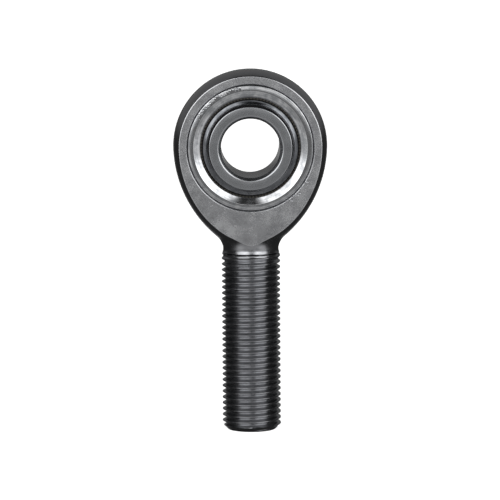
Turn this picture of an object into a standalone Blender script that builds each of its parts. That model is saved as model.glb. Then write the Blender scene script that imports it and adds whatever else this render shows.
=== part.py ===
"""Male rod end bearing: a threaded eye, a staked race, a low-friction liner and a ball.

Metres, +Z up. The origin is the ball's centre. The ball's bore runs along Y and the
threaded shank points down along -Z. The sizes are those of the half-inch series.
"""

import math

import bmesh
import bpy

INCH = 0.0254

# Ball
BALL_DIAMETER = 0.937 * INCH
BALL_WIDTH = 0.625 * INCH
BALL_BORE = 0.500 * INCH
BALL_BORE_CHAMFER = 0.0006

# Liner between the ball and the race
RUNNING_CLEARANCE = 0.00006
LINER_THICKNESS = 0.00025
LINER_GAP = 0.00005

# Outer race, flush with the head's two faces and flared into the head's chamfers
RACE_WALL = 0.00089
RACE_FACE_RING = 0.00145
RACE_CONE_ANGLE = math.radians(19)
STAKE_GAP = 0.0001
STAKE_CHAMFER = 0.00055

# Head: a turned ball shape that runs into the neck, milled flat on both sides
HEAD_WIDTH = 0.500 * INCH
HEAD_WALL = 0.00341
SHOULDER_START = math.radians(2)
SHOULDER_RADIUS = 0.026
NECK_FILLET = 0.0044
NECK_LENGTH = 0.000201

# Shank: 1/2-20 right-hand unified thread, rolled on a blank of the pitch diameter
THREAD_MAJOR = 0.500 * INCH
THREAD_PITCH = INCH / 20
THREAD_LENGTH = 1.530 * INCH
THREAD_RUNOUT_TURNS = 3
END_CHAMFER = 0.00115
FLANK_ANGLE = math.radians(30)

# Facets and cutting allowances
RING_STEPS = 60
THREAD_STEPS = 20
ARC_STEP = math.radians(5.5)
CUT_OVERRUN = 0.001
THREAD_OVERRUN = 0.00005
CORE_INSET = 0.00004

# Sizes that follow from the ones above
ball_radius = BALL_DIAMETER / 2
liner_inner_radius = ball_radius + RUNNING_CLEARANCE
liner_outer_radius = liner_inner_radius + LINER_THICKNESS
pocket_radius = liner_outer_radius + LINER_GAP
race_radius = pocket_radius + RACE_WALL
eye_radius = race_radius + STAKE_GAP
head_radius = eye_radius + HEAD_WALL
half_width = HEAD_WIDTH / 2
major_radius = THREAD_MAJOR / 2
thread_height = math.cos(FLANK_ANGLE) * THREAD_PITCH
neck_radius = major_radius - 3 / 8 * thread_height
groove_depth = 17 / 24 * thread_height
runout_length = THREAD_RUNOUT_TURNS * THREAD_PITCH


def arc(centre, radius, start, end):
    """Points of an arc in a profile's plane, both ends included."""
    count = max(1, round(abs(end - start) / ARC_STEP))
    angles = [start + (end - start) * i / count for i in range(count + 1)]
    return [(centre[0] + radius * math.cos(a), centre[1] + radius * math.sin(a)) for a in angles]


def mirrored(upper_half):
    """A profile's upper half followed by its mirror image, still in running order."""
    return upper_half + [(r, -z) for r, z in reversed(upper_half)]


def shoulder_points():
    """Head profile from the crown down to the neck's top, as three tangent arcs."""
    shoulder_offset = SHOULDER_RADIUS - head_radius
    shoulder_centre = (-shoulder_offset * math.cos(SHOULDER_START), shoulder_offset * math.sin(SHOULDER_START))
    fillet_centre_r = neck_radius + NECK_FILLET
    reach = SHOULDER_RADIUS + NECK_FILLET
    shoulder_end = math.acos((fillet_centre_r - shoulder_centre[0]) / reach)
    fillet_centre = (fillet_centre_r, shoulder_centre[1] - reach * math.sin(shoulder_end))
    crown = arc((0, 0), head_radius, math.pi / 2, -SHOULDER_START)
    shoulder = arc(shoulder_centre, SHOULDER_RADIUS, -SHOULDER_START, -shoulder_end)
    fillet = arc(fillet_centre, NECK_FILLET, math.pi - shoulder_end, math.pi)
    return crown[:-1] + shoulder[:-1] + fillet, shoulder[-1][1]


head_outline, shoulder_bottom = shoulder_points()
neck_top = head_outline[-1][1]
thread_top = neck_top - NECK_LENGTH
shank_end = thread_top - THREAD_LENGTH


def clear_scene():
    for item in list(bpy.data.objects):
        bpy.data.objects.remove(item, do_unlink=True)


def new_collection(name):
    collection = bpy.data.collections.new(name)
    bpy.context.scene.collection.children.link(collection)
    return collection


def new_material(name, colour, roughness, metallic):
    material = bpy.data.materials.new(name)
    material.use_nodes = True
    shader = material.node_tree.nodes["Principled BSDF"]
    shader.inputs["Base Color"].default_value = (*colour, 1)
    shader.inputs["Roughness"].default_value = roughness
    shader.inputs["Metallic"].default_value = metallic
    return material


def add_object(name, mesh, collection, parent=None, material=None):
    thing = bpy.data.objects.new(name, mesh)
    collection.objects.link(thing)
    thing.parent = parent
    if material:
        mesh.materials.append(material)
    return thing


def turned(name, profile, steps, collection, closed=False, parent=None, material=None):
    """A profile of (radius, height) points, turned about Z by a Screw modifier."""
    mesh = bpy.data.meshes.new(name)
    edges = [(i, i + 1) for i in range(len(profile) - 1)]
    if closed:
        edges.append((len(profile) - 1, 0))
    mesh.from_pydata([(r, 0, z) for r, z in profile], edges, [])
    thing = add_object(name, mesh, collection, parent, material)
    screw = thing.modifiers.new("Turn", "SCREW")
    screw.steps = steps
    screw.render_steps = steps
    screw.use_merge_vertices = True
    screw.merge_threshold = 1e-6
    screw.use_smooth_shade = True
    return thing


def boolean(thing, operation, other):
    modifier = thing.modifiers.new(other.name, "BOOLEAN")
    modifier.operation = operation
    modifier.solver = "EXACT"
    modifier.object = other


def hide_tool(thing):
    thing.hide_render = True
    thing.display_type = "WIRE"


def make_ball(collection, bore_axis, material):
    half = BALL_WIDTH / 2
    bore = BALL_BORE / 2
    edge = math.asin(half / ball_radius)
    sphere = arc((0, 0), ball_radius, edge, -edge)
    bore_side = [(bore + BALL_BORE_CHAMFER, -half), (bore, BALL_BORE_CHAMFER - half)]
    bore_side += [(bore, half - BALL_BORE_CHAMFER), (bore + BALL_BORE_CHAMFER, half)]
    return turned("ball", sphere + bore_side, RING_STEPS, collection, True, bore_axis, material)


def pocket_corner():
    """Where the race's cone, running in from its face ring, meets the spherical pocket."""
    ring_radius = race_radius + STAKE_CHAMFER - RACE_FACE_RING
    direction = (-math.cos(RACE_CONE_ANGLE), -math.sin(RACE_CONE_ANGLE))
    along = ring_radius * direction[0] + half_width * direction[1]
    beyond = ring_radius ** 2 + half_width ** 2 - pocket_radius ** 2
    distance = -along - math.sqrt(along ** 2 - beyond)
    corner = (ring_radius + distance * direction[0], half_width + distance * direction[1])
    return ring_radius, corner


def make_liner(collection, bore_axis, material):
    edge = pocket_corner()[1][1] - LINER_GAP
    outer = math.asin(edge / liner_outer_radius)
    inner = math.asin(edge / liner_inner_radius)
    profile = arc((0, 0), liner_outer_radius, outer, -outer)
    profile += arc((0, 0), liner_inner_radius, -inner, inner)
    return turned("ptfe_liner", profile, RING_STEPS, collection, True, bore_axis, material)


def make_race(collection, bore_axis, material):
    ring_radius, corner = pocket_corner()
    slope_gap = math.sqrt(2) * STAKE_GAP
    flare_start = half_width - STAKE_CHAMFER + slope_gap - STAKE_GAP
    outer = mirrored([(eye_radius + STAKE_CHAMFER - slope_gap, half_width), (race_radius, flare_start)])
    pocket = math.asin(corner[1] / pocket_radius)
    inner = [(ring_radius, -half_width)] + arc((0, 0), pocket_radius, -pocket, pocket) + [(ring_radius, half_width)]
    return turned("outer_race", outer + inner, RING_STEPS, collection, True, bore_axis, material)


def make_flats_cutter(collection):
    """Two blocks that leave the head HEAD_WIDTH thick and end below its shoulder."""
    reach = head_radius + CUT_OVERRUN
    mesh = bpy.data.meshes.new("flats_cutter")
    block = bmesh.new()
    bmesh.ops.create_cube(block, size=1)
    height = reach - neck_top
    depth = reach - half_width
    bmesh.ops.scale(block, vec=(2 * reach, depth, height), verts=block.verts)
    bmesh.ops.translate(block, vec=(0, half_width + depth / 2, (reach + neck_top) / 2), verts=block.verts)
    block.to_mesh(mesh)
    block.free()
    cutter = add_object("flats_cutter", mesh, collection)
    mirror = cutter.modifiers.new("Other side", "MIRROR")
    mirror.use_axis = (False, True, False)
    mirror.merge_threshold = 1e-6
    hide_tool(cutter)
    return cutter


def make_eye_cutter(collection, bore_axis):
    wide = eye_radius + STAKE_CHAMFER + CUT_OVERRUN
    far = half_width + CUT_OVERRUN
    profile = mirrored([(0, far), (wide, far), (eye_radius, half_width - STAKE_CHAMFER)])
    cutter = turned("eye_cutter", profile, RING_STEPS, collection, False, bore_axis)
    hide_tool(cutter)
    return cutter


def groove_section(lift):
    """The thread's groove as (radius, height) corners, raised by lift in the run-out."""
    crest_gap = 7 / 8 * THREAD_PITCH / 2
    root = major_radius - groove_depth
    outside = major_radius + THREAD_OVERRUN
    root_half = crest_gap - groove_depth * math.tan(FLANK_ANGLE)
    outside_half = crest_gap + THREAD_OVERRUN * math.tan(FLANK_ANGLE)
    corners = [(root, root_half), (root, -root_half), (outside, -outside_half), (outside, outside_half)]
    return [(r + lift, z) for r, z in corners]


def make_groove_cutter(collection):
    """A right-hand helix of groove sections from below the shank's end to the run-out."""
    start = shank_end - 1.5 * THREAD_PITCH
    turns = (thread_top - start) / THREAD_PITCH
    stations = math.ceil(turns * THREAD_STEPS)
    full_lift = groove_depth - (major_radius - neck_radius) + 3 * THREAD_OVERRUN
    cutter_mesh = bmesh.new()
    previous = None
    for i in range(stations + 1):
        angle = 2 * math.pi * i / THREAD_STEPS
        height = start + THREAD_PITCH * i / THREAD_STEPS
        faded = max(0, 1 - (thread_top - height) / runout_length)
        ring = [
            cutter_mesh.verts.new((r * math.cos(angle), r * math.sin(angle), height + z))
            for r, z in groove_section(full_lift * faded)
        ]
        if previous:
            for a in range(4):
                b = (a + 1) % 4
                cutter_mesh.faces.new((previous[a], ring[a], ring[b], previous[b]))
        else:
            cutter_mesh.faces.new(ring)
        previous = ring
    cutter_mesh.faces.new(reversed(previous))
    bmesh.ops.recalc_face_normals(cutter_mesh, faces=cutter_mesh.faces)
    mesh = bpy.data.meshes.new("groove_cutter")
    cutter_mesh.to_mesh(mesh)
    cutter_mesh.free()
    cutter = add_object("groove_cutter", mesh, collection)
    hide_tool(cutter)
    return cutter


def make_shank(collection):
    """The threaded shank, whose plain top is buried in the head's neck."""
    core = neck_radius - CORE_INSET
    profile = [
        (0, shoulder_bottom),
        (core, shoulder_bottom),
        (core, thread_top),
        (major_radius, thread_top - runout_length),
        (major_radius, shank_end + END_CHAMFER),
        (major_radius - END_CHAMFER, shank_end),
        (0, shank_end),
    ]
    shank = turned("shank_blank", profile, THREAD_STEPS, collection)
    boolean(shank, "DIFFERENCE", make_groove_cutter(collection))
    hide_tool(shank)
    return shank


def make_body(parts, tools, bore_axis, material):
    profile = head_outline + [(neck_radius, thread_top), (0, thread_top)]
    body = turned("rod_end_body", profile, RING_STEPS, parts, False, None, material)
    boolean(body, "DIFFERENCE", make_flats_cutter(tools))
    boolean(body, "DIFFERENCE", make_eye_cutter(tools, bore_axis))
    boolean(body, "UNION", make_shank(tools))
    return body


def main():
    clear_scene()
    parts = new_collection("rod_end_bearing")
    tools = new_collection("cutters")
    bore_axis = add_object("bore_axis", None, parts)
    bore_axis.rotation_euler = (-math.pi / 2, 0, 0)
    plated_steel = new_material("plated_steel", (0.30, 0.30, 0.31), 0.32, 1.0)
    turned_steel = new_material("turned_steel", (0.36, 0.36, 0.37), 0.28, 1.0)
    hard_chrome = new_material("hard_chrome", (0.42, 0.42, 0.43), 0.12, 1.0)
    liner_fabric = new_material("liner_fabric", (0.03, 0.03, 0.03), 0.8, 0.0)
    make_body(parts, tools, bore_axis, plated_steel)
    make_race(parts, bore_axis, turned_steel)
    make_liner(parts, bore_axis, liner_fabric)
    make_ball(parts, bore_axis, hard_chrome)
    print("ball centre to shank end: %.2f mm" % (-shank_end * 1000))


main()
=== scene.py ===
from math import acos, asin, cos, pi, radians, sin, sqrt, tan

import bmesh
import bpy
from mathutils import Matrix, Vector


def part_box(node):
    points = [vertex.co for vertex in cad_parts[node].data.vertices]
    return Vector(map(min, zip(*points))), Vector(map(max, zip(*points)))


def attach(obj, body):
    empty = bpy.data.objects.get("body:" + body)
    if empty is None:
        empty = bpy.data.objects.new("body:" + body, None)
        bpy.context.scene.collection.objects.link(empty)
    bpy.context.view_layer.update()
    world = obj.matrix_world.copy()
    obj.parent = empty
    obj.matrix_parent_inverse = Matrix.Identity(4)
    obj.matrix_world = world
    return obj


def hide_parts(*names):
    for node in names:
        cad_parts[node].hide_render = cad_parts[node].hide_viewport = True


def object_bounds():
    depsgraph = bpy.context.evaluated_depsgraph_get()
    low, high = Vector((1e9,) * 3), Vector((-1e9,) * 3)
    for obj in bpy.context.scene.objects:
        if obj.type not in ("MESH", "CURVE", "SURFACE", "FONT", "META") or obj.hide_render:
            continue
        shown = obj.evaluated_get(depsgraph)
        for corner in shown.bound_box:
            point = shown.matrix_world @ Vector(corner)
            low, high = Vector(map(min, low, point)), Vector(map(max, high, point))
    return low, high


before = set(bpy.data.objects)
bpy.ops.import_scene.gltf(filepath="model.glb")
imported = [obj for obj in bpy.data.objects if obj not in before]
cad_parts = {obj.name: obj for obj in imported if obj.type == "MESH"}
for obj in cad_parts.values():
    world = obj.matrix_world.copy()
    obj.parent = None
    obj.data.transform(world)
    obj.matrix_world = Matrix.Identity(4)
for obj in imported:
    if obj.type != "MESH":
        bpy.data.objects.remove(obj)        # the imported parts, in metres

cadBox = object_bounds()
print("frame loaded:", ", ".join(sorted(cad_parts)))

# Shapes are worked out in millimetres and brought to metres when a piece is finished.
millimetre = 0.001
onAxis = 1e-6    # a profile point nearer the axis than this is on it


def colour(hexValue):    # an sRGB hex value as linear red, green, blue and alpha
    channels = [int(hexValue[i:i + 2], 16) / 255 for i in (1, 3, 5)]
    return [c / 12.92 if c <= 0.04045 else ((c + 0.055) / 1.055) ** 2.4 for c in channels] + [1]


def addNode(tree, kind, settings=None, inputs=None):
    node = tree.nodes.new(kind)
    for name, value in (settings or {}).items():
        setattr(node, name, value)
    for socket, value in (inputs or {}).items():
        if isinstance(value, bpy.types.Node):
            value = value.outputs[0]
        if isinstance(value, bpy.types.NodeSocket):
            tree.links.new(value, node.inputs[socket])
        else:
            node.inputs[socket].default_value = value
    return node


def arcPoints(centre, radius, start, end, count):
    angles = [start + (end - start) * i / count for i in range(count + 1)]
    return [(centre[0] + radius * cos(a), centre[1] + radius * sin(a)) for a in angles]


def mirrored(upperHalf):    # a profile's upper half, then its mirror image in running order
    return upperHalf + [(point[0], -point[1], *point[2:]) for point in reversed(upperHalf)]


def arcBetween(centre, first, last, sweep, steps):    # points round a centre, from one spoke to another
    shares = [k / steps for k in range(steps + 1)]
    return [centre + (first * sin((1 - t) * sweep) + last * sin(t * sweep)) / sin(sweep) for t in shares]


def rounded(corners, steps=5):    # (radius, height, rounding) corners of a closed profile
    points = []
    for i, (x, y, rounding) in enumerate(corners):
        here = Vector((x, y))
        if not rounding:
            points.append((x, y))
            continue
        before = (Vector(corners[i - 1][:2]) - here).normalized()
        after = (Vector(corners[(i + 1) % len(corners)][:2]) - here).normalized()
        half = before.angle(after) / 2
        centre = here + (before + after).normalized() * rounding / sin(half)
        first = here + before * rounding / tan(half) - centre
        last = here + after * rounding / tan(half) - centre
        points += [tuple(point) for point in arcBetween(centre, first, last, pi - 2 * half, steps)]
    return points


def turned(profile, steps, axis, closed):    # (radius, height) points turned about Y or Z
    shape = bmesh.new()
    rings = []
    for radius, height in profile:
        count = 1 if radius < onAxis else steps
        angles = [2 * pi * i / steps for i in range(count)]
        if axis == "Y":
            places = [(radius * cos(a), height, radius * sin(a)) for a in angles]
        else:
            places = [(radius * cos(a), radius * sin(a), height) for a in angles]
        rings.append([shape.verts.new(place) for place in places])
    pairs = list(zip(rings, rings[1:]))
    if closed:
        pairs.append((rings[-1], rings[0]))
    for upper, lower in pairs:
        for i in range(steps):
            j = (i + 1) % steps
            corners = [upper[i % len(upper)], upper[j % len(upper)]]
            corners += [lower[j % len(lower)], lower[i % len(lower)]]
            corners = list(dict.fromkeys(corners))    # a ring that is a single point gives a triangle
            if len(corners) > 2:
                shape.faces.new(corners)
    return shape


def addPiece(name, shape, material):
    bmesh.ops.recalc_face_normals(shape, faces=shape.faces)
    mesh = bpy.data.meshes.new(name)
    shape.to_mesh(mesh)
    shape.free()
    mesh.materials.append(material)
    piece = bpy.data.objects.new(name, mesh)
    bpy.context.collection.objects.link(piece)
    return piece


def applyModifiers(piece):
    evaluated = piece.evaluated_get(bpy.context.evaluated_depsgraph_get())
    mesh = bpy.data.meshes.new_from_object(evaluated)
    piece.modifiers.clear()
    piece.data = mesh


def combine(piece, tool, operation):    # a cut or a join with another closed shape, which is used up
    modifier = piece.modifiers.new("Combine", "BOOLEAN")
    modifier.object = tool
    modifier.operation = operation
    modifier.solver = "MANIFOLD"
    applyModifiers(piece)
    bpy.data.objects.remove(tool)


def finishPiece(piece, body, nodes, sharpAngle=30):
    mesh = piece.data
    mesh.transform(Matrix.Scale(millimetre, 4))
    mesh.shade_smooth()
    mesh.set_sharp_from_angle(angle=radians(sharpAngle))
    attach(piece, body)
    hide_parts(*nodes)
    print("made", piece.name, "with", len(mesh.polygons), "faces")


def geometryTree(name, sizes):    # a geometry tree with a named number input for each size
    tree = bpy.data.node_groups.new(name, "GeometryNodeTree")
    tree.interface.new_socket("Geometry", in_out="OUTPUT", socket_type="NodeSocketGeometry")
    for sizeName in sizes:
        tree.interface.new_socket(sizeName, in_out="INPUT", socket_type="NodeSocketFloat")
    tree.interface.new_socket("Material", in_out="INPUT", socket_type="NodeSocketMaterial")
    return tree, addNode(tree, "NodeGroupInput").outputs


def growPiece(name, tree, sizes, material):    # an object whose mesh the tree makes, as a plain mesh
    piece = bpy.data.objects.new(name, bpy.data.meshes.new(name))
    bpy.context.collection.objects.link(piece)
    modifier = piece.modifiers.new(name, "NODES")
    modifier.node_group = tree
    values = {**sizes, "Material": material}
    for item in tree.interface.items_tree:
        if item.in_out == "INPUT":
            modifier[item.identifier] = values[item.name]
    applyModifiers(piece)
    return piece


def newMaterial(name):
    material = bpy.data.materials.new(name)
    material.use_nodes = True
    tree = material.node_tree
    return material, tree, tree.nodes["Principled BSDF"]


plate = {
    "light": "#C4C5C7", "dark": "#B2B3B6", "turnedLight": "#A9AAAD", "turnedDark": "#96979A",
    "patch": 2.6, "grain": 0.34,    # real plated grain is near 0.1 mm, drawn coarser so that it shows
    "patchShare": 0.6, "grainShare": 0.4, "lowest": 0.32, "highest": 0.68,
    "smooth": 0.21, "dull": 0.30, "turnedSmooth": 0.19, "turnedDull": 0.27,
    "grainDepth": 0.003, "bumpStrength": 0.5, "flatStart": 6.30,
}


def zincPlatedSteel():
    # Bright zinc on steel: satin and pale on the milled flats, darker and glossier where it was turned.
    material, tree, shader = newMaterial("zincPlatedSteel")
    place = addNode(tree, "ShaderNodeTexCoord").outputs["Object"]
    split = addNode(tree, "ShaderNodeSeparateXYZ", {}, {0: place}).outputs
    aside = addNode(tree, "ShaderNodeMath", {"operation": "ABSOLUTE"}, {0: split["Y"]})
    farOut = addNode(tree, "ShaderNodeMath", {"operation": "GREATER_THAN"}, {
        0: aside, 1: plate["flatStart"] * millimetre})
    onHead = addNode(tree, "ShaderNodeMath", {"operation": "GREATER_THAN"}, {
        0: split["Z"], 1: neckTop * millimetre})
    isFlat = addNode(tree, "ShaderNodeMath", {"operation": "MULTIPLY"}, {0: farOut, 1: onHead})
    patches = addNode(tree, "ShaderNodeTexNoise", {}, {
        "Vector": place, "Scale": 1 / (plate["patch"] * millimetre), "Detail": 4.0})
    fine = addNode(tree, "ShaderNodeTexNoise", {}, {
        "Vector": place, "Scale": 1 / (plate["grain"] * millimetre), "Detail": 3.0})
    cloud = addNode(tree, "ShaderNodeMath", {"operation": "MULTIPLY"}, {0: fine, 1: plate["grainShare"]})
    blend = addNode(tree, "ShaderNodeMath", {"operation": "MULTIPLY_ADD"}, {
        0: patches, 1: plate["patchShare"], 2: cloud})
    share = addNode(tree, "ShaderNodeMapRange", {}, {
        "Value": blend, "From Min": plate["lowest"], "From Max": plate["highest"]})
    flatTone = addNode(tree, "ShaderNodeMix", {"data_type": "RGBA"}, {
        "Factor": share, 6: colour(plate["dark"]), 7: colour(plate["light"])})
    turnedTone = addNode(tree, "ShaderNodeMix", {"data_type": "RGBA"}, {
        "Factor": share, 6: colour(plate["turnedDark"]), 7: colour(plate["turnedLight"])})
    tone = addNode(tree, "ShaderNodeMix", {"data_type": "RGBA"}, {
        "Factor": isFlat, 6: turnedTone.outputs[2], 7: flatTone.outputs[2]})
    flatRough = addNode(tree, "ShaderNodeMapRange", {}, {
        "Value": share, "To Min": plate["smooth"], "To Max": plate["dull"]})
    turnedRough = addNode(tree, "ShaderNodeMapRange", {}, {
        "Value": share, "To Min": plate["turnedSmooth"], "To Max": plate["turnedDull"]})
    rough = addNode(tree, "ShaderNodeMix", {"data_type": "FLOAT"}, {
        "Factor": isFlat, 2: turnedRough, 3: flatRough})
    bump = addNode(tree, "ShaderNodeBump", {}, {
        "Height": fine, "Strength": plate["bumpStrength"], "Distance": plate["grainDepth"] * millimetre})
    tree.links.new(tone.outputs[2], shader.inputs["Base Color"])
    tree.links.new(rough.outputs[0], shader.inputs["Roughness"])
    tree.links.new(bump.outputs["Normal"], shader.inputs["Normal"])
    shader.inputs["Metallic"].default_value = 1.0
    return material


ringed = {
    "light": "#CBCCCE", "dark": "#A0A2A5", "lightest": 0.58, "darkest": 0.40,
    "ringSpacing": 0.24,    # real tool marks are near 0.1 mm apart, drawn coarser so that they show
    "ringDepth": 0.003, "bumpStrength": 0.6, "patch": 1.5, "ringShare": 0.3, "patchShare": 0.7,
    "smooth": 0.08, "dull": 0.20, "dullest": 0.38, "smoothest": 0.62,
}


def turnedSteel():
    # Bare bearing steel, turned on a lathe: bright, with fine rings round the bore and dull stains.
    material, tree, shader = newMaterial("turnedSteel")
    place = addNode(tree, "ShaderNodeTexCoord").outputs["Object"]
    flat = addNode(tree, "ShaderNodeVectorMath", {"operation": "MULTIPLY"}, {0: place, 1: (1, 0, 1)})
    fromAxis = addNode(tree, "ShaderNodeVectorMath", {"operation": "LENGTH"}, {0: flat}).outputs["Value"]
    along = addNode(tree, "ShaderNodeSeparateXYZ", {}, {0: place}).outputs["Y"]
    path = addNode(tree, "ShaderNodeMath", {"operation": "ADD"}, {0: fromAxis, 1: along})
    rings = addNode(tree, "ShaderNodeTexNoise", {"noise_dimensions": "1D"}, {
        "W": path, "Scale": 1 / (ringed["ringSpacing"] * millimetre), "Detail": 2.0})
    stains = addNode(tree, "ShaderNodeTexNoise", {}, {
        "Vector": place, "Scale": 1 / (ringed["patch"] * millimetre), "Detail": 5.0})
    ringing = addNode(tree, "ShaderNodeMath", {"operation": "MULTIPLY"}, {0: rings, 1: ringed["ringShare"]})
    blend = addNode(tree, "ShaderNodeMath", {"operation": "MULTIPLY_ADD"}, {
        0: stains, 1: ringed["patchShare"], 2: ringing})
    ramp = addNode(tree, "ShaderNodeValToRGB", {}, {"Fac": blend})
    ramp.color_ramp.elements[0].position = ringed["darkest"]
    ramp.color_ramp.elements[0].color = colour(ringed["dark"])
    ramp.color_ramp.elements[1].position = ringed["lightest"]
    ramp.color_ramp.elements[1].color = colour(ringed["light"])
    rough = addNode(tree, "ShaderNodeMapRange", {}, {
        "Value": blend, "From Min": ringed["dullest"], "From Max": ringed["smoothest"],
        "To Min": ringed["dull"], "To Max": ringed["smooth"]})
    bump = addNode(tree, "ShaderNodeBump", {}, {
        "Height": rings, "Strength": ringed["bumpStrength"], "Distance": ringed["ringDepth"] * millimetre})
    tree.links.new(ramp.outputs["Color"], shader.inputs["Base Color"])
    tree.links.new(rough.outputs["Result"], shader.inputs["Roughness"])
    tree.links.new(bump.outputs["Normal"], shader.inputs["Normal"])
    shader.inputs["Metallic"].default_value = 1.0
    return material


chrome = {
    "light": "#9C9EA1", "dark": "#8F9194", "groundTone": "#A9ABAE", "lightest": 0.65, "darkest": 0.35,
    "polished": 0.04, "ground": 0.18, "smudge": 1.8, "smear": 0.08,
    "faceStart": 7.90, "boreEdge": 7.0,    # outside the first or inside the second the ball is ground
    "ringSpacing": 0.22,    # real grinding marks are finer than 0.1 mm, drawn coarser so that they show
    "ringDepth": 0.003, "bumpStrength": 0.5,
}


def hardChrome():
    # Hard chrome on a hardened ball: a mirror on the sphere, ground faces and bore with fine rings.
    material, tree, shader = newMaterial("hardChrome")
    place = addNode(tree, "ShaderNodeTexCoord").outputs["Object"]
    flat = addNode(tree, "ShaderNodeVectorMath", {"operation": "MULTIPLY"}, {0: place, 1: (1, 0, 1)})
    fromAxis = addNode(tree, "ShaderNodeVectorMath", {"operation": "LENGTH"}, {0: flat}).outputs["Value"]
    along = addNode(tree, "ShaderNodeSeparateXYZ", {}, {0: place}).outputs["Y"]
    height = addNode(tree, "ShaderNodeMath", {"operation": "ABSOLUTE"}, {0: along})
    onFace = addNode(tree, "ShaderNodeMath", {"operation": "GREATER_THAN"}, {
        0: height, 1: chrome["faceStart"] * millimetre})
    inBore = addNode(tree, "ShaderNodeMath", {"operation": "LESS_THAN"}, {
        0: fromAxis, 1: chrome["boreEdge"] * millimetre})
    isGround = addNode(tree, "ShaderNodeMath", {"operation": "MAXIMUM"}, {0: onFace, 1: inBore})
    path = addNode(tree, "ShaderNodeMath", {"operation": "ADD"}, {0: fromAxis, 1: along})
    rings = addNode(tree, "ShaderNodeTexNoise", {"noise_dimensions": "1D"}, {
        "W": path, "Scale": 1 / (chrome["ringSpacing"] * millimetre), "Detail": 2.0})
    smudge = addNode(tree, "ShaderNodeTexNoise", {}, {
        "Vector": place, "Scale": 1 / (chrome["smudge"] * millimetre), "Detail": 4.0})
    ramp = addNode(tree, "ShaderNodeValToRGB", {}, {"Fac": smudge})
    ramp.color_ramp.elements[0].position = chrome["darkest"]
    ramp.color_ramp.elements[0].color = colour(chrome["dark"])
    ramp.color_ramp.elements[1].position = chrome["lightest"]
    ramp.color_ramp.elements[1].color = colour(chrome["light"])
    tone = addNode(tree, "ShaderNodeMix", {"data_type": "RGBA"}, {
        "Factor": isGround, 6: ramp.outputs["Color"], 7: colour(chrome["groundTone"])})
    finish = addNode(tree, "ShaderNodeMapRange", {}, {
        "Value": isGround, "To Min": chrome["polished"], "To Max": chrome["ground"]})
    rough = addNode(tree, "ShaderNodeMath", {"operation": "MULTIPLY_ADD"}, {
        0: smudge, 1: chrome["smear"], 2: finish.outputs["Result"]})
    depth = addNode(tree, "ShaderNodeMath", {"operation": "MULTIPLY"}, {0: rings, 1: isGround})
    bump = addNode(tree, "ShaderNodeBump", {}, {
        "Height": depth, "Strength": chrome["bumpStrength"], "Distance": chrome["ringDepth"] * millimetre})
    tree.links.new(tone.outputs[2], shader.inputs["Base Color"])
    tree.links.new(rough.outputs["Value"], shader.inputs["Roughness"])
    tree.links.new(bump.outputs["Normal"], shader.inputs["Normal"])
    shader.inputs["Metallic"].default_value = 1.0
    return material


cloth = {
    "warp": "#3A3630", "weft": "#1B1A18", "roughness": 0.85,
    "threadSpacing": 0.4,    # real threads are near 0.2 mm apart, drawn coarser so that they show
    "threadDepth": 0.03, "bumpStrength": 0.6,
}


def wovenLiner():
    # Low-friction cloth bonded in the race: dull and dark, with a plain weave that breaks up its edge.
    material, tree, shader = newMaterial("wovenLiner")
    place = addNode(tree, "ShaderNodeTexCoord").outputs["Object"]
    split = addNode(tree, "ShaderNodeSeparateXYZ", {}, {0: place}).outputs
    around = addNode(tree, "ShaderNodeMath", {"operation": "ARCTAN2"}, {0: split["Z"], 1: split["X"]})
    across = addNode(tree, "ShaderNodeMath", {"operation": "MULTIPLY"}, {
        0: around, 1: liner["radius"] * millimetre})
    spread = addNode(tree, "ShaderNodeCombineXYZ", {}, {0: across, 1: split["Y"]})
    weave = addNode(tree, "ShaderNodeTexChecker", {}, {
        "Vector": spread, "Scale": 1 / (cloth["threadSpacing"] * millimetre),
        "Color1": colour(cloth["warp"]), "Color2": colour(cloth["weft"])})
    bump = addNode(tree, "ShaderNodeBump", {}, {
        "Height": weave.outputs["Fac"], "Strength": cloth["bumpStrength"],
        "Distance": cloth["threadDepth"] * millimetre})
    tree.links.new(weave.outputs["Color"], shader.inputs["Base Color"])
    tree.links.new(bump.outputs["Normal"], shader.inputs["Normal"])
    shader.inputs["Roughness"].default_value = cloth["roughness"]
    return material


head = {
    "radius": 16.66, "halfWidth": 6.35, "eyeRadius": 13.25, "eyeChamfer": 0.55,
    "shoulderStart": radians(2), "shoulderRadius": 26.0, "neckFillet": 4.4,
    "neckRadius": 5.9375, "neckLength": 0.201, "neckFlare": 0.22, "flareLength": 1.3,
    "milledEdge": 0.28, "eyeEdge": 0.18,
    "steps": 240, "crownSteps": 72, "shoulderSteps": 24, "filletSteps": 14, "flareSteps": 8, "eyeSteps": 360,
    "endStep": 0.06, "threadOverlap": 0.05,    # how the neck's lower end steps in and runs into the thread
}
shoulderOffset = head["shoulderRadius"] - head["radius"]
shoulderCentre = (-shoulderOffset * cos(head["shoulderStart"]), shoulderOffset * sin(head["shoulderStart"]))
filletReach = head["shoulderRadius"] + head["neckFillet"]
shoulderEnd = acos((head["neckRadius"] + head["neckFillet"] - shoulderCentre[0]) / filletReach)
filletCentre = (head["neckRadius"] + head["neckFillet"], shoulderCentre[1] - filletReach * sin(shoulderEnd))
shoulderTop = -head["radius"] * sin(head["shoulderStart"])
filletTop = shoulderCentre[1] - head["shoulderRadius"] * sin(shoulderEnd)
neckTop = filletCentre[1]
threadTop = neckTop - head["neckLength"]
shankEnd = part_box("rod_end_body")[0][2] / millimetre


def headRadiusAt(height):    # half the turned blank's thickness at this height
    if height > shoulderTop:
        return sqrt(max(0, head["radius"] ** 2 - height ** 2))
    if height > filletTop:
        return shoulderCentre[0] + sqrt(head["shoulderRadius"] ** 2 - (height - shoulderCentre[1]) ** 2)
    return filletCentre[0] - sqrt(max(0, head["neckFillet"] ** 2 - (height - filletCentre[1]) ** 2))


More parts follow.
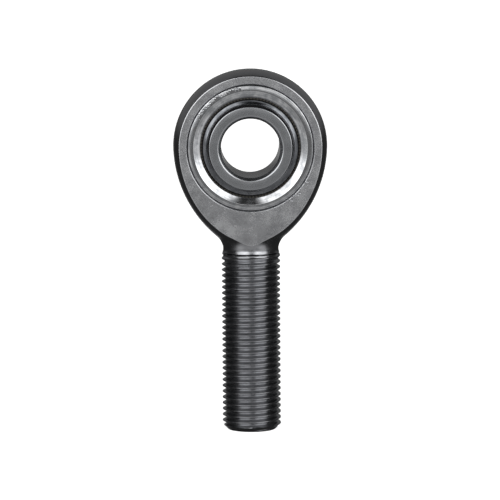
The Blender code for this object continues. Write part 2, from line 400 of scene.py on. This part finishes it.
def turnedBlank(material):
    start = -head["shoulderStart"]
    crown = arcPoints((0, 0), head["radius"], pi / 2, start, head["crownSteps"])
    crown[0] = (0, head["radius"])
    shoulder = arcPoints(shoulderCentre, head["shoulderRadius"], start, -shoulderEnd, head["shoulderSteps"])
    fillet = arcPoints(filletCentre, head["neckFillet"], pi - shoulderEnd, pi, head["filletSteps"])
    flareTop = threadTop + head["flareLength"]
    outline = [point for point in crown[:-1] + shoulder[:-1] + fillet if point[1] > flareTop]
    for k in range(head["flareSteps"] + 1):    # the neck opens out a little towards the thread
        height = flareTop - head["flareLength"] * k / head["flareSteps"]
        base = headRadiusAt(max(height, neckTop))
        outline.append((base + head["neckFlare"] * (k / head["flareSteps"]) ** 2, height))
    endRadius, endHeight = outline[-1][0] - head["endStep"], threadTop - head["threadOverlap"]
    outline += [(endRadius, endHeight), (0, endHeight)]
    return addPiece("eye_and_shank", turned(outline, head["steps"], "Z", False), material)


def flatsCutter(material, side):    # a block well clear of the head, with one face on the milled flat
    width, depth, height = 50, 12.0, 50.0
    middle = (0, side * (head["halfWidth"] + depth / 2), neckTop + height / 2)
    block = bmesh.new()
    bmesh.ops.create_cube(block, size=1)
    bmesh.ops.scale(block, vec=(width, depth, height), verts=block.verts)
    bmesh.ops.translate(block, vec=middle, verts=block.verts)
    return addPiece("flatsCutter", block, material)


def faceEdgePoint(angle):    # where the milled flat meets the turned side, at an angle about the bore
    near, far, halvings = 12.0, 25.0, 50
    for _ in range(halvings):
        middle = (near + far) / 2
        reach = sqrt((middle * cos(angle)) ** 2 + head["halfWidth"] ** 2)
        if reach < headRadiusAt(middle * sin(angle)):
            near = middle
        else:
            far = middle
    return Vector((near * cos(angle), head["halfWidth"], near * sin(angle)))


def sideNormal(point):    # which way the turned side faces at this point
    step = 0.01
    slope = (headRadiusAt(point.z + step) - headRadiusAt(point.z - step)) / (2 * step)
    around = Vector((point.x, point.y, 0)).normalized()
    return Vector((around.x, around.y, -slope)).normalized()


def roundingSection(point, run):    # the corner to take away at a point of the edge, as a closed outline
    arcSteps, overrun = 4, 0.5
    faceNormal, sideFace = Vector((0, 1, 0)), sideNormal(point)
    inward = run.cross(faceNormal).normalized()
    if inward.dot(point) > 0:
        inward.negate()
    down = run.cross(sideFace).normalized()
    if down.y > 0:
        down.negate()
    half = inward.angle(down) / 2
    reach = head["milledEdge"] / tan(half)
    centre = point + (inward + down).normalized() * head["milledEdge"] / sin(half)
    first, last = point + inward * reach - centre, point + down * reach - centre
    section = arcBetween(centre, first, last, pi - 2 * half, arcSteps)
    outside = point + (sideFace + faceNormal) * overrun
    return section + [section[-1] + sideFace * overrun, outside, section[0] + faceNormal * overrun]


def edgeRoundingCutter(material, side):    # a thin ring that takes the sharp corner off a milled flat
    count = 480
    points = [faceEdgePoint(-pi / 2 + 2 * pi * i / count) for i in range(count)]
    shape = bmesh.new()
    rings = []
    for i, point in enumerate(points):
        run = (points[(i + 1) % count] - points[i - 1]).normalized()
        rings.append([shape.verts.new((p.x, side * p.y, p.z)) for p in roundingSection(point, run)])
    for i in range(count):
        here, after = rings[i], rings[(i + 1) % count]
        for a in range(len(here)):
            b = (a + 1) % len(here)
            shape.faces.new((here[a], here[b], after[b], after[a]))
    return addPiece("edgeRoundingCutter", shape, material)


def eyeCutter(material):    # the eye's bore with its chamfers, whose outer corners are eased
    wide = head["eyeRadius"] + head["eyeChamfer"]
    half = head["halfWidth"]
    chamferEnd = (head["eyeRadius"], half - head["eyeChamfer"])
    beyond = 2.0
    corner = rounded([(*chamferEnd, 0), (wide, half, head["eyeEdge"]), (wide + beyond, half, 0)])
    reach = head["eyeEdge"] * tan(pi / 8)    # how far the easing runs along the face
    top = half + 1.0
    upper = [(0, top), (wide + reach, top)] + corner[-2:0:-1] + [chamferEnd]
    return addPiece("eyeCutter", turned(mirrored(upper), head["eyeSteps"], "Y", False), material)


thread = {
    "Major Radius": 6.35, "Pitch": 1.27, "Groove Depth": 0.779, "Crest Half Width": 0.10,
    "Edge Softness": 0.05, "Top": threadTop, "Bottom": shankEnd, "End Radius": 5.22,
    "End Softness": 0.04, "Core Radius": 5.35, "First Cut": 0.15, "Run-out Turns": 2.0,
    "Steps Around": 96.0, "Rows Per Turn": 15.0,
}
# The groove at +X lies half a pitch below the shank's end, counted in whole turns.
thread["Phase"] = (shankEnd - thread["Pitch"] / 2 - threadTop) / thread["Pitch"] % 1
flankSlope = tan(radians(30))


def threadSheet(tree, size):    # a flat grid with its place around, from 0 to 1, and its rows, counted downwards
    spareTurns, endRows = 1.2, 4.0    # two end rows above the thread and one below it
    turns = addNode(tree, "ShaderNodeMath", {"operation": "SUBTRACT"}, {0: size["Top"], 1: size["Bottom"]})
    turns = addNode(tree, "ShaderNodeMath", {"operation": "DIVIDE"}, {0: turns, 1: size["Pitch"]})
    turns = addNode(tree, "ShaderNodeMath", {"operation": "ADD"}, {0: turns, 1: spareTurns})
    threadRows = addNode(tree, "ShaderNodeMath", {"operation": "MULTIPLY"}, {0: turns, 1: size["Rows Per Turn"]})
    threadRows = addNode(tree, "ShaderNodeMath", {"operation": "CEIL"}, {0: threadRows})
    rows = addNode(tree, "ShaderNodeMath", {"operation": "ADD"}, {0: threadRows, 1: endRows})
    columns = addNode(tree, "ShaderNodeMath", {"operation": "ADD"}, {0: size["Steps Around"], 1: 1.0})
    sheet = addNode(tree, "GeometryNodeMeshGrid", {}, {
        "Size X": 1.0, "Size Y": 1.0, "Vertices X": columns, "Vertices Y": rows})
    place = addNode(tree, "ShaderNodeSeparateXYZ", {}, {0: addNode(tree, "GeometryNodeInputPosition")}).outputs
    around = addNode(tree, "ShaderNodeMath", {"operation": "ADD"}, {0: place["X"], 1: 0.5})
    down = addNode(tree, "ShaderNodeMath", {"operation": "SUBTRACT"}, {0: 0.5, 1: place["Y"]})
    lastRow = addNode(tree, "ShaderNodeMath", {"operation": "SUBTRACT"}, {0: rows, 1: 1.0})
    row = addNode(tree, "ShaderNodeMath", {"operation": "MULTIPLY"}, {0: down, 1: lastRow})
    row = addNode(tree, "ShaderNodeMath", {"operation": "ROUND"}, {0: row})
    return sheet, around, row, lastRow


def threadHeight(tree, size, around, row):
    # How many turns down the sheet a row lies; rows follow the helix, so a row is in one phase all round.
    turn = addNode(tree, "ShaderNodeMath", {"operation": "SUBTRACT"}, {0: row, 1: 2.0})
    turn = addNode(tree, "ShaderNodeMath", {"operation": "DIVIDE"}, {0: turn, 1: size["Rows Per Turn"]})
    turn = addNode(tree, "ShaderNodeMath", {"operation": "MAXIMUM"}, {0: turn, 1: 0.0})
    rise = addNode(tree, "ShaderNodeMath", {"operation": "SUBTRACT"}, {0: around, 1: turn})
    height = addNode(tree, "ShaderNodeMath", {"operation": "MULTIPLY_ADD"}, {
        0: rise, 1: size["Pitch"], 2: size["Top"]})
    height = addNode(tree, "ShaderNodeClamp", {}, {"Value": height, "Min": size["Bottom"], "Max": size["Top"]})
    return turn, height


def grooveDepth(tree, size, turn):    # a flat root, straight flanks and a narrow crest, with eased corners
    phase = addNode(tree, "ShaderNodeMath", {"operation": "ADD"}, {0: turn, 1: size["Phase"]})
    phase = addNode(tree, "ShaderNodeMath", {"operation": "FRACT"}, {0: phase})
    aside = addNode(tree, "ShaderNodeMath", {"operation": "SUBTRACT"}, {0: phase, 1: 0.5})
    aside = addNode(tree, "ShaderNodeMath", {"operation": "ABSOLUTE"}, {0: aside})
    aside = addNode(tree, "ShaderNodeMath", {"operation": "MULTIPLY"}, {0: aside, 1: size["Pitch"]})
    aside = addNode(tree, "ShaderNodeMath", {"operation": "SUBTRACT"}, {0: aside, 1: size["Crest Half Width"]})
    depth = addNode(tree, "ShaderNodeMath", {"operation": "DIVIDE"}, {0: aside, 1: flankSlope})
    depth = addNode(tree, "ShaderNodeMath", {"operation": "SMOOTH_MAX"}, {
        0: depth, 1: 0.0, 2: size["Edge Softness"]})
    return addNode(tree, "ShaderNodeMath", {"operation": "SMOOTH_MIN"}, {
        0: depth, 1: size["Groove Depth"], 2: size["Edge Softness"]})


def threadRadius(tree, size, depth, height):
    # Near the neck the groove is only partly rolled, and the shank's end is chamfered.
    coreSlope = 3.0
    below = addNode(tree, "ShaderNodeMath", {"operation": "SUBTRACT"}, {0: size["Top"], 1: height})
    start = addNode(tree, "ShaderNodeMath", {"operation": "MULTIPLY"}, {0: size["Pitch"], 1: size["Run-out Turns"]})
    formed = addNode(tree, "ShaderNodeMapRange", {}, {
        "Value": below, "From Max": start, "To Min": size["First Cut"], "To Max": 1.0}).outputs["Result"]
    depth = addNode(tree, "ShaderNodeMath", {"operation": "MULTIPLY"}, {0: depth, 1: formed})
    radius = addNode(tree, "ShaderNodeMath", {"operation": "SUBTRACT"}, {0: size["Major Radius"], 1: depth})
    topLimit = addNode(tree, "ShaderNodeMath", {"operation": "MULTIPLY_ADD"}, {
        0: below, 1: coreSlope, 2: size["Core Radius"]})
    radius = addNode(tree, "ShaderNodeMath", {"operation": "MINIMUM"}, {0: radius, 1: topLimit})
    aboveEnd = addNode(tree, "ShaderNodeMath", {"operation": "SUBTRACT"}, {0: height, 1: size["Bottom"]})
    endLimit = addNode(tree, "ShaderNodeMath", {"operation": "ADD"}, {0: aboveEnd, 1: size["End Radius"]})
    return addNode(tree, "ShaderNodeMath", {"operation": "SMOOTH_MIN"}, {
        0: radius, 1: endLimit, 2: size["End Softness"]})


def closeEnds(tree, size, row, lastRow, radius, height):
    # The two rows above the thread are buried in the neck, and the outermost rows close the ends.
    isTop = addNode(tree, "ShaderNodeMath", {"operation": "LESS_THAN"}, {0: row, 1: 1.5})
    height = addNode(tree, "ShaderNodeMath", {"operation": "ADD"}, {0: height, 1: isTop})
    notFirst = addNode(tree, "ShaderNodeMath", {"operation": "GREATER_THAN"}, {0: row, 1: 0.5})
    beforeLast = addNode(tree, "ShaderNodeMath", {"operation": "SUBTRACT"}, {0: lastRow, 1: 0.5})
    notLast = addNode(tree, "ShaderNodeMath", {"operation": "LESS_THAN"}, {0: row, 1: beforeLast})
    shown = addNode(tree, "ShaderNodeMath", {"operation": "MULTIPLY"}, {0: notFirst, 1: notLast})
    isLast = addNode(tree, "ShaderNodeMath", {"operation": "SUBTRACT"}, {0: 1.0, 1: notLast})
    drop = addNode(tree, "ShaderNodeMath", {"operation": "SUBTRACT"}, {0: size["Bottom"], 1: height})
    height = addNode(tree, "ShaderNodeMath", {"operation": "MULTIPLY_ADD"}, {0: drop, 1: isLast, 2: height})
    radius = addNode(tree, "ShaderNodeMath", {"operation": "MULTIPLY"}, {0: radius, 1: shown})
    return radius, height


def threadTree():
    joinedWithin = 0.0005
    tree, size = geometryTree("rolledThread", thread)
    sheet, around, row, lastRow = threadSheet(tree, size)
    turn, height = threadHeight(tree, size, around, row)
    radius = threadRadius(tree, size, grooveDepth(tree, size, turn), height)
    radius, height = closeEnds(tree, size, row, lastRow, radius, height)
    angle = addNode(tree, "ShaderNodeMath", {"operation": "MULTIPLY"}, {0: around, 1: 2 * pi})
    cosine = addNode(tree, "ShaderNodeMath", {"operation": "COSINE"}, {0: angle})
    sine = addNode(tree, "ShaderNodeMath", {"operation": "SINE"}, {0: angle})
    x = addNode(tree, "ShaderNodeMath", {"operation": "MULTIPLY"}, {0: cosine, 1: radius})
    y = addNode(tree, "ShaderNodeMath", {"operation": "MULTIPLY"}, {0: sine, 1: radius})
    spot = addNode(tree, "ShaderNodeCombineXYZ", {}, {0: x, 1: y, 2: height})
    wound = addNode(tree, "GeometryNodeSetPosition", {}, {"Geometry": sheet, "Position": spot})
    closed = addNode(tree, "GeometryNodeMergeByDistance", {}, {"Geometry": wound, "Distance": joinedWithin})
    plain = addNode(tree, "GeometryNodeRealizeInstances", {}, {"Geometry": closed})
    covered = addNode(tree, "GeometryNodeSetMaterial", {}, {"Geometry": plain, "Material": size["Material"]})
    addNode(tree, "NodeGroupOutput", {}, {0: covered})
    return tree


def makeShank(material):
    shank = growPiece("shank", threadTree(), thread, material)
    shape = bmesh.new()
    shape.from_mesh(shank.data)
    shortest = 1e-5
    bmesh.ops.dissolve_degenerate(shape, edges=shape.edges, dist=shortest)
    bmesh.ops.recalc_face_normals(shape, faces=shape.faces)
    print("thread edges left open:", sum(not edge.is_manifold for edge in shape.edges))
    shape.to_mesh(shank.data)
    shape.free()
    return shank


marks = [    # shallow punch marks along two arcs: one on the race, one on the eye's face
    {"Ring Radius": 12.9, "Scatter": 0.42, "From Angle": radians(98), "To Angle": radians(152),
     "Count": 17.0, "Size": 0.34, "Seed": 3.0},
    {"Ring Radius": 13.9, "Scatter": 0.45, "From Angle": radians(-58), "To Angle": radians(-30),
     "Count": 12.0, "Size": 0.36, "Seed": 8.0},
]


def marksTree():
    lift, smallest, flatness = 0.05, 0.55, 0.45    # how far a punch stands off, and its least and flat scale
    tree, size = geometryTree("punchMarks", marks[0])
    points = addNode(tree, "GeometryNodePoints", {}, {"Count": size["Count"]})
    index = addNode(tree, "GeometryNodeInputIndex")
    share = addNode(tree, "ShaderNodeMath", {"operation": "ADD"}, {0: index, 1: 0.5})
    share = addNode(tree, "ShaderNodeMath", {"operation": "DIVIDE"}, {0: share, 1: size["Count"]})
    span = addNode(tree, "ShaderNodeMath", {"operation": "SUBTRACT"}, {0: size["To Angle"], 1: size["From Angle"]})
    angle = addNode(tree, "ShaderNodeMath", {"operation": "MULTIPLY_ADD"}, {0: share, 1: span, 2: size["From Angle"]})
    shift = addNode(tree, "FunctionNodeRandomValue", {"data_type": "FLOAT"}, {2: -1.0, 3: 1.0, "Seed": size["Seed"]})
    radius = addNode(tree, "ShaderNodeMath", {"operation": "MULTIPLY_ADD"}, {
        0: shift.outputs[1], 1: size["Scatter"], 2: size["Ring Radius"]})
    cosine = addNode(tree, "ShaderNodeMath", {"operation": "COSINE"}, {0: angle})
    sine = addNode(tree, "ShaderNodeMath", {"operation": "SINE"}, {0: angle})
    x = addNode(tree, "ShaderNodeMath", {"operation": "MULTIPLY"}, {0: cosine, 1: radius})
    z = addNode(tree, "ShaderNodeMath", {"operation": "MULTIPLY"}, {0: sine, 1: radius})
    spot = addNode(tree, "ShaderNodeCombineXYZ", {}, {0: x, 1: -head["halfWidth"] - lift, 2: z})
    placed = addNode(tree, "GeometryNodeSetPosition", {}, {"Geometry": points, "Position": spot})
    punch = addNode(tree, "GeometryNodeMeshIcoSphere", {}, {"Radius": size["Size"], "Subdivisions": 2})
    spread = addNode(tree, "FunctionNodeRandomValue", {"data_type": "FLOAT"}, {
        2: smallest, 3: 1.0, "Seed": size["Seed"]})
    shallow = addNode(tree, "ShaderNodeCombineXYZ", {}, {0: spread.outputs[1], 1: flatness, 2: spread.outputs[1]})
    stamped = addNode(tree, "GeometryNodeInstanceOnPoints", {}, {
        "Points": placed, "Instance": punch, "Scale": shallow})
    plain = addNode(tree, "GeometryNodeRealizeInstances", {}, {"Geometry": stamped})
    covered = addNode(tree, "GeometryNodeSetMaterial", {}, {"Geometry": plain, "Material": size["Material"]})
    addNode(tree, "NodeGroupOutput", {}, {0: covered})
    return tree


def punchMarks(piece, material):
    tree = marksTree()
    for row in marks:
        combine(piece, growPiece("punches", tree, row, material), "DIFFERENCE")


def makeEyeAndShank(material):
    body = turnedBlank(material)
    for side in (-1, 1):
        combine(body, flatsCutter(material, side), "DIFFERENCE")
    for side in (-1, 1):
        combine(body, edgeRoundingCutter(material, side), "DIFFERENCE")
    combine(body, eyeCutter(material), "DIFFERENCE")
    combine(body, makeShank(material), "UNION")
    punchMarks(body, material)
    finishPiece(body, "rod_end", ["rod_end_body"])


race = {
    "outerRadius": 13.15, "flareRadius": 13.6586, "flareDrop": 0.02, "flareStart": 5.8414, "flareEdge": 0.16,
    "wallEdge": 0.2, "ringRadius": 12.25, "ringEdge": 0.3,
    "pocketRadius": 12.26, "pocketEdge": 5.8431, "mouthEdge": 0.06, "steps": 360, "pocketSteps": 24,
}


def makeRace(material):
    half = head["halfWidth"]
    pocket = asin(race["pocketEdge"] / race["pocketRadius"])
    outer = mirrored([
        (race["flareRadius"], half - race["flareDrop"], race["flareEdge"]),
        (race["outerRadius"], race["flareStart"], race["wallEdge"])])
    bowl = [(r, y, 0) for r, y in arcPoints((0, 0), race["pocketRadius"], -pocket, pocket, race["pocketSteps"])]
    bowl[0], bowl[-1] = (*bowl[0][:2], race["mouthEdge"]), (*bowl[-1][:2], race["mouthEdge"])
    inner = [(race["ringRadius"], -half, race["ringEdge"])] + bowl + [(race["ringRadius"], half, race["ringEdge"])]
    ring = addPiece("staked_race", turned(rounded(outer + inner), race["steps"], "Y", True), material)
    punchMarks(ring, material)
    finishPiece(ring, "rod_end", ["outer_race"])


liner = {"radius": 11.96, "outerRadius": 12.21, "edge": 5.7931, "steps": 240, "arcSteps": 28, "sharpAngle": 40}


def makeLiner(material):
    outer = asin(liner["edge"] / liner["outerRadius"])
    inner = asin(liner["edge"] / liner["radius"])
    profile = arcPoints((0, 0), liner["outerRadius"], outer, -outer, liner["arcSteps"])
    profile += arcPoints((0, 0), liner["radius"], -inner, inner, liner["arcSteps"])
    ring = addPiece("woven_liner", turned(profile, liner["steps"], "Y", True), material)
    finishPiece(ring, "liner", ["ptfe_liner"], liner["sharpAngle"])


ball = {
    "radius": 11.8999, "halfWidth": 7.9375, "faceEdge": 0.3, "bore": 6.35, "chamfer": 0.6, "boreEdge": 0.5,
    "steps": 320, "sphereSteps": 64,
}


def makeBall(material):
    half, bore = ball["halfWidth"], ball["bore"]
    edge = asin(half / ball["radius"])
    sphere = arcPoints((0, 0), ball["radius"], edge, -edge, ball["sphereSteps"])
    corners = [(r, y, 0) for r, y in sphere]
    corners[0] = (*sphere[0], ball["faceEdge"])
    corners[-1] = (*sphere[-1], ball["faceEdge"])
    corners += [(bore + ball["chamfer"], -half, ball["boreEdge"]), (bore, ball["chamfer"] - half, ball["boreEdge"])]
    corners += [(bore, half - ball["chamfer"], ball["boreEdge"]), (bore + ball["chamfer"], half, ball["boreEdge"])]
    piece = addPiece("bored_ball", turned(rounded(corners), ball["steps"], "Y", True), material)
    finishPiece(piece, "ball", ["ball"])


studio = {
    "ambient": 0.03, "sweepRadius": 3.0, "floorShare": 0.3, "sweepGlow": 0.86,
    "sweepColour": "#F4F4F2", "sweepRoughness": 0.9, "archSteps": 12, "roundSteps": 64,
}
# Soft panels as azimuth (0 towards the camera, positive to its right) and elevation, half width and
# half height, the width of the fading edge across and upwards, all in degrees, then brightness.
panels = [
    (-34, 25, 21, 17, 9, 8, 1.80),
    (42, 25, 21, 17, 9, 8, 1.95),
    (0, 12, 34, 8, 12, 6, 0.80),
    (-34, -3, 18, 6, 7, 5, 0.64),
    (41, -3, 19, 6, 9, 5, 0.75),
    (2, -5, 12, 6, 9, 7, 0.12),
    (-52, -30, 12, 14, 8, 8, 0.28),
    (54, -30, 12, 14, 8, 8, 0.42),
    (0, -23, 25, 8, 75, 9, 0.35),
    (0, -52, 45, 14, 40, 8, 0.44),
]
rearPanels = [
    (0, -15, 11, 12, 6, 6, 0.3),
    (0, 26, 50, 16, 20, 12, 0.14),
]


def makeWorld():
    world = bpy.data.worlds.new("studio")
    world.use_nodes = True
    bpy.context.scene.world = world
    tree = world.node_tree
    ray = addNode(tree, "ShaderNodeTexCoord").outputs["Generated"]
    direction = addNode(tree, "ShaderNodeSeparateXYZ", {}, {0: ray}).outputs
    front = addNode(tree, "ShaderNodeMath", {"operation": "MULTIPLY"}, {0: direction["Y"], 1: -1.0})
    azimuth = addNode(tree, "ShaderNodeMath", {"operation": "ARCTAN2"}, {0: direction["X"], 1: front})
    rearAzimuth = addNode(tree, "ShaderNodeMath", {"operation": "ARCTAN2"}, {0: direction["X"], 1: direction["Y"]})
    elevation = addNode(tree, "ShaderNodeMath", {"operation": "ARCSINE"}, {0: direction["Z"]})
    total = None
    for bearing, row in [(azimuth, p) for p in panels] + [(rearAzimuth, p) for p in rearPanels]:
        across, upward, halfWidth, halfHeight, softWidth, softHeight, light = row
        sides = (bearing, across, halfWidth, softWidth), (elevation, upward, halfHeight, softHeight)
        for angle, middle, half, soft in sides:
            offset = addNode(tree, "ShaderNodeMath", {"operation": "SUBTRACT"}, {0: angle, 1: radians(middle)})
            offset = addNode(tree, "ShaderNodeMath", {"operation": "ABSOLUTE"}, {0: offset})
            light = addNode(tree, "ShaderNodeMapRange", {"interpolation_type": "SMOOTHSTEP"}, {
                "Value": offset, "From Min": radians(half + soft), "From Max": radians(half),
                "To Max": light}).outputs["Result"]
        total = addNode(tree, "ShaderNodeMath", {"operation": "ADD"}, {0: light, 1: total or studio["ambient"]})
    tree.links.new(total.outputs[0], tree.nodes["Background"].inputs["Strength"])
    tree.nodes["Background"].inputs["Color"].default_value = (1, 1, 1, 1)
    print("studio light:", len(panels) + len(rearPanels), "soft panels")


def makeSweep():
    # Matt paper, lit from beyond it: pale and even, with no grain to show.
    material, tree, shader = newMaterial("palePaper")
    shader.inputs["Base Color"].default_value = colour(studio["sweepColour"])
    shader.inputs["Roughness"].default_value = studio["sweepRoughness"]
    shader.inputs["Emission Color"].default_value = (1, 1, 1, 1)
    shader.inputs["Emission Strength"].default_value = studio["sweepGlow"]
    radius = studio["sweepRadius"]
    floorHeight = cadBox[0][2]
    arch = arcPoints((0, floorHeight), radius, 0, pi / 2, studio["archSteps"])
    profile = [(0, floorHeight), (radius * studio["floorShare"], floorHeight)] + arch[:-1]
    profile += [(0, floorHeight + radius)]
    sweep = addPiece("pale_sweep", turned(profile, studio["roundSteps"], "Z", False), material)
    sweep.data.flip_normals()
    sweep.data.shade_smooth()
    sweep.visible_glossy = False
    sweep.visible_diffuse = False
    sweep.visible_shadow = False
    print("sweep: radius", radius, "m")


view = {
    "azimuth": -0.60, "elevation": 6.95, "roll": -0.36,    # degrees
    "distance": 650.0, "aim": (-0.18, 0, -22.74), "lens": 215.6,
}


def makeCamera():
    side, up = radians(view["azimuth"]), radians(view["elevation"])
    back = Vector((sin(side) * cos(up), -cos(side) * cos(up), sin(up)))
    right = Vector((cos(side), sin(side), 0))
    above = back.cross(right)
    tilt = radians(view["roll"])
    columns = [right * cos(tilt) + above * sin(tilt), above * cos(tilt) - right * sin(tilt), back]
    place = (Vector(view["aim"]) + back * view["distance"]) * millimetre
    cameraData = bpy.data.cameras.new("camera")
    cameraData.lens = view["lens"]
    camera = bpy.data.objects.new("camera", cameraData)
    bpy.context.collection.objects.link(camera)
    camera.matrix_world = Matrix.Translation(place) @ Matrix(columns).transposed().to_4x4()
    bpy.context.scene.camera = camera
    print("camera:", view["distance"], "mm away, lens", view["lens"], "mm")


makeEyeAndShank(zincPlatedSteel())
makeRace(turnedSteel())
makeLiner(wovenLiner())
makeBall(hardChrome())
makeWorld()
makeSweep()
makeCamera()
bpy.context.scene.view_settings.view_transform = "Standard"    # white paper stays white
